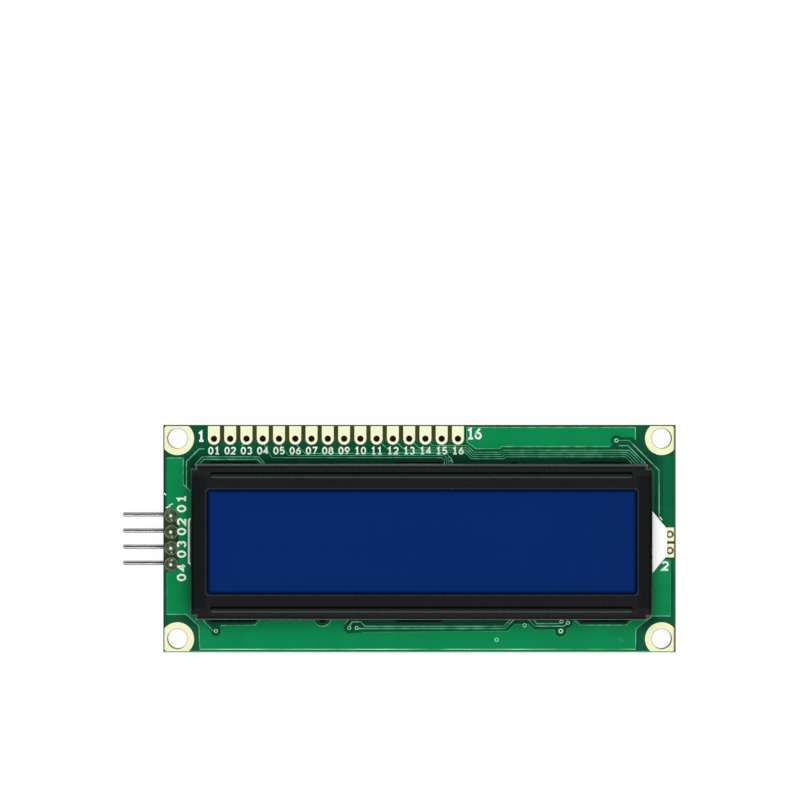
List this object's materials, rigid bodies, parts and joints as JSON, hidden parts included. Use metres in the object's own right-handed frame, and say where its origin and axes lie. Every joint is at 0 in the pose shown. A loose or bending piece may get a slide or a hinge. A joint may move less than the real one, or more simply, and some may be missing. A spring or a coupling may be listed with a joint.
{
  "type": "character lcd module",
  "caption": "Character display module: glass cell in a folded black bezel on a green circuit board, with a pin header at one end and a contrast trimmer on the back.",
  "frame": {"origin": "centre of the four fixing holes, on the back face of the circuit board", "axes": "+Z is the way the display looks, +X runs along the board to the reader's right, away from the side header, and +Y to the edge with the row of connector holes"},
  "size_m": [0.0867, 0.0356, 0.0121],
  "materials": {
    "solder_mask": "glossy green lacquer over epoxy glass board",
    "tinned_pad": "pale tinned copper, bright",
    "bezel_paint": "satin black paint on thin steel",
    "front_film": "smooth navy polarizing film",
    "cell_glass": "clear float glass, ground edges",
    "seal_resin": "cured resin",
    "rear_film": "grey polarizing film",
    "zebra_rubber": "striped silicone rubber",
    "diffuser": "frosted film",
    "guide_acrylic": "clear moulded acrylic",
    "reflector": "bright white-silver film",
    "white_moulding": "white moulded plastic, faint mould texture",
    "lamp_resin": "pale clear resin over phosphor",
    "tinned_lead": "tin plated lead, satin",
    "gold_pin": "bright plated square pin",
    "solder": "bright solder, slight flux stain",
    "header_plastic": "black moulded plastic",
    "blob_resin": "semi gloss black resin",
    "chip_plastic": "fine matt moulded epoxy",
    "trimmer_plastic": "blue moulded plastic",
    "rotor_plastic": "white moulded plastic",
    "resistor_ceramic": "black glass over ceramic",
    "capacitor_ceramic": "tan ceramic"
  },
  "bodies": {
    "module": {"circuit_board": "solder_mask", "pin_pads": "tinned_pad", "mounting_pads": "tinned_pad", "header_pads": "tinned_pad", "backlight_pads": "tinned_pad", "bezel": "bezel_paint", "front_polarizer": "front_film", "front_glass": "cell_glass", "glass_seal": "seal_resin", "rear_glass": "cell_glass", "rear_polarizer": "rear_film", "upper_zebra_strip": "zebra_rubber", "lower_zebra_strip": "zebra_rubber", "diffuser_film": "diffuser", "light_guide": "guide_acrylic", "reflector_film": "reflector", "backlight_housing": "white_moulding", "backlight_led": "lamp_resin", "backlight_leads": "tinned_lead", "backlight_solder": "solder", "header_block": "header_plastic", "header_pins": "gold_pin", "header_solder": "solder", "display_controller_blob": "blob_resin", "segment_driver_blob": "blob_resin", "expander_chip": "chip_plastic", "expander_leads": "tinned_lead", "trimmer_base": "trimmer_plastic", "trimmer_terminals": "tinned_lead", "driver_transistor": "chip_plastic", "transistor_leads": "tinned_lead", "resistor_bodies": "resistor_ceramic", "capacitor_bodies": "capacitor_ceramic", "chip_end_caps": "tinned_lead"},
    "contrast_rotor": {"trimmer_rotor": "rotor_plastic"}
  },
  "joints": [
    {"name": "contrast_turn", "type": "hinge", "parent": "module", "child": "contrast_rotor", "pos_m": [-0.03, 0.0038, 0], "axis": [0, 0, -1], "range_deg": [-130, 130]}
  ]
}
